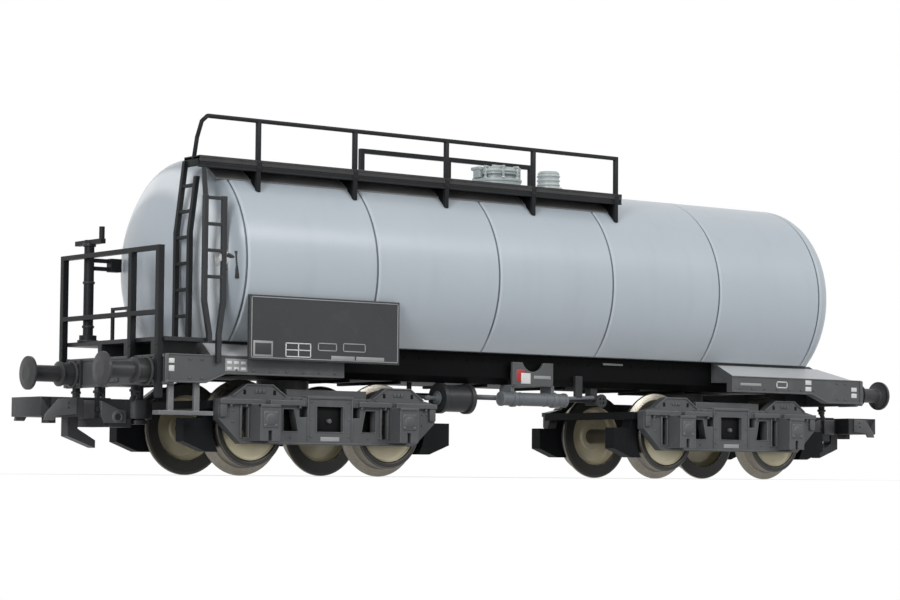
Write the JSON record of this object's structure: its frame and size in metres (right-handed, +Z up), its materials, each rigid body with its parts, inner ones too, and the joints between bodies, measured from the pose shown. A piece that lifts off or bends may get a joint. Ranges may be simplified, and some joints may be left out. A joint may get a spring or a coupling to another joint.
{
  "type": "model railway tank car",
  "caption": "Scale model of a bogie railway tank car with a brakeman's end platform, walkway, swivelling bogies and swinging claw couplers.",
  "frame": {"origin": "centre of the car at the level that the wheel flanges stand on", "axes": "+X along the car towards the end without the platform, +Y across, +Z up"},
  "size_m": [0.0848, 0.0164, 0.0263],
  "materials": {
    "tank_shell": "satin light blue grey",
    "dome_grey": "satin light grey",
    "frame_grey": "satin dark grey",
    "black_plastic": "satin black",
    "board_black": "satin black, blank",
    "wheel_metal": "blackened rim, plated tan disc",
    "axle_metal": "bare steel"
  },
  "bodies": {
    "car": {"air_reservoir": "black_plastic", "bogie_pin_front": "black_plastic", "bogie_pin_rear": "black_plastic", "brake_column": "black_plastic", "brake_cylinder": "black_plastic", "brake_rod": "black_plastic", "buffer_front_far": "black_plastic", "buffer_front_near": "black_plastic", "buffer_rear_far": "black_plastic", "buffer_rear_near": "black_plastic", "centre_sill": "black_plastic", "changeover_lever": "black_plastic", "coupler_pocket_front": "black_plastic", "coupler_pocket_rear": "black_plastic", "drain_handwheel": "black_plastic", "end_frame_front": "frame_grey", "end_frame_rear": "frame_grey", "end_ladder": "black_plastic", "far_ledge": "black_plastic", "far_railing": "black_plastic", "foot_step_far": "frame_grey", "foot_step_near": "frame_grey", "label_panel_far": "board_black", "label_panel_near": "board_black", "manhole_dome": "dome_grey", "number_board_far": "board_black", "number_board_near": "board_black", "platform_deck": "black_plastic", "platform_railing": "black_plastic", "side_ladder": "black_plastic", "tank": "tank_shell", "vent_dome": "dome_grey", "walkway": "black_plastic", "walkway_railing": "black_plastic"},
    "wheelset_1": {"axle_1": "axle_metal", "wheels_1": "wheel_metal"},
    "wheelset_2": {"axle_2": "axle_metal", "wheels_2": "wheel_metal"},
    "wheelset_3": {"axle_3": "axle_metal", "wheels_3": "wheel_metal"},
    "wheelset_4": {"axle_4": "axle_metal", "wheels_4": "wheel_metal"},
    "front_bogie": {"bogie_frame_front": "frame_grey", "brake_shoes_front": "frame_grey"},
    "rear_bogie": {"bogie_frame_rear": "frame_grey", "brake_shoes_rear": "frame_grey"},
    "front_coupler": {"coupler_front": "black_plastic"},
    "rear_coupler": {"coupler_rear": "black_plastic"}
  },
  "joints": [
    {"name": "front_bogie_swivel", "type": "hinge", "parent": "car", "child": "front_bogie", "pos_m": [-0.02045, 0, 0.005], "axis": [0, 0, 1], "range_deg": [-12, 12]},
    {"name": "front_coupler_swing", "type": "hinge", "parent": "car", "child": "front_coupler", "pos_m": [-0.0332, 0, 0.0048], "axis": [0, 0, 1], "range_deg": [-12, 12]},
    {"name": "rear_bogie_swivel", "type": "hinge", "parent": "car", "child": "rear_bogie", "pos_m": [0.02045, 0, 0.005], "axis": [0, 0, 1], "range_deg": [-12, 12]},
    {"name": "rear_coupler_swing", "type": "hinge", "parent": "car", "child": "rear_coupler", "pos_m": [0.0332, 0, 0.0048], "axis": [0, 0, 1], "range_deg": [-12, 12]},
    {"name": "wheelset_1_spin", "type": "hinge", "parent": "front_bogie", "child": "wheelset_1", "pos_m": [-0.0267, 0, 0.00355], "axis": [0, 1, 0], "continuous": true},
    {"name": "wheelset_2_spin", "type": "hinge", "parent": "front_bogie", "child": "wheelset_2", "pos_m": [-0.0142, 0, 0.00355], "axis": [0, 1, 0], "continuous": true},
    {"name": "wheelset_3_spin", "type": "hinge", "parent": "rear_bogie", "child": "wheelset_3", "pos_m": [0.0142, 0, 0.00355], "axis": [0, 1, 0], "continuous": true},
    {"name": "wheelset_4_spin", "type": "hinge", "parent": "rear_bogie", "child": "wheelset_4", "pos_m": [0.0267, 0, 0.00355], "axis": [0, 1, 0], "continuous": true}
  ]
}
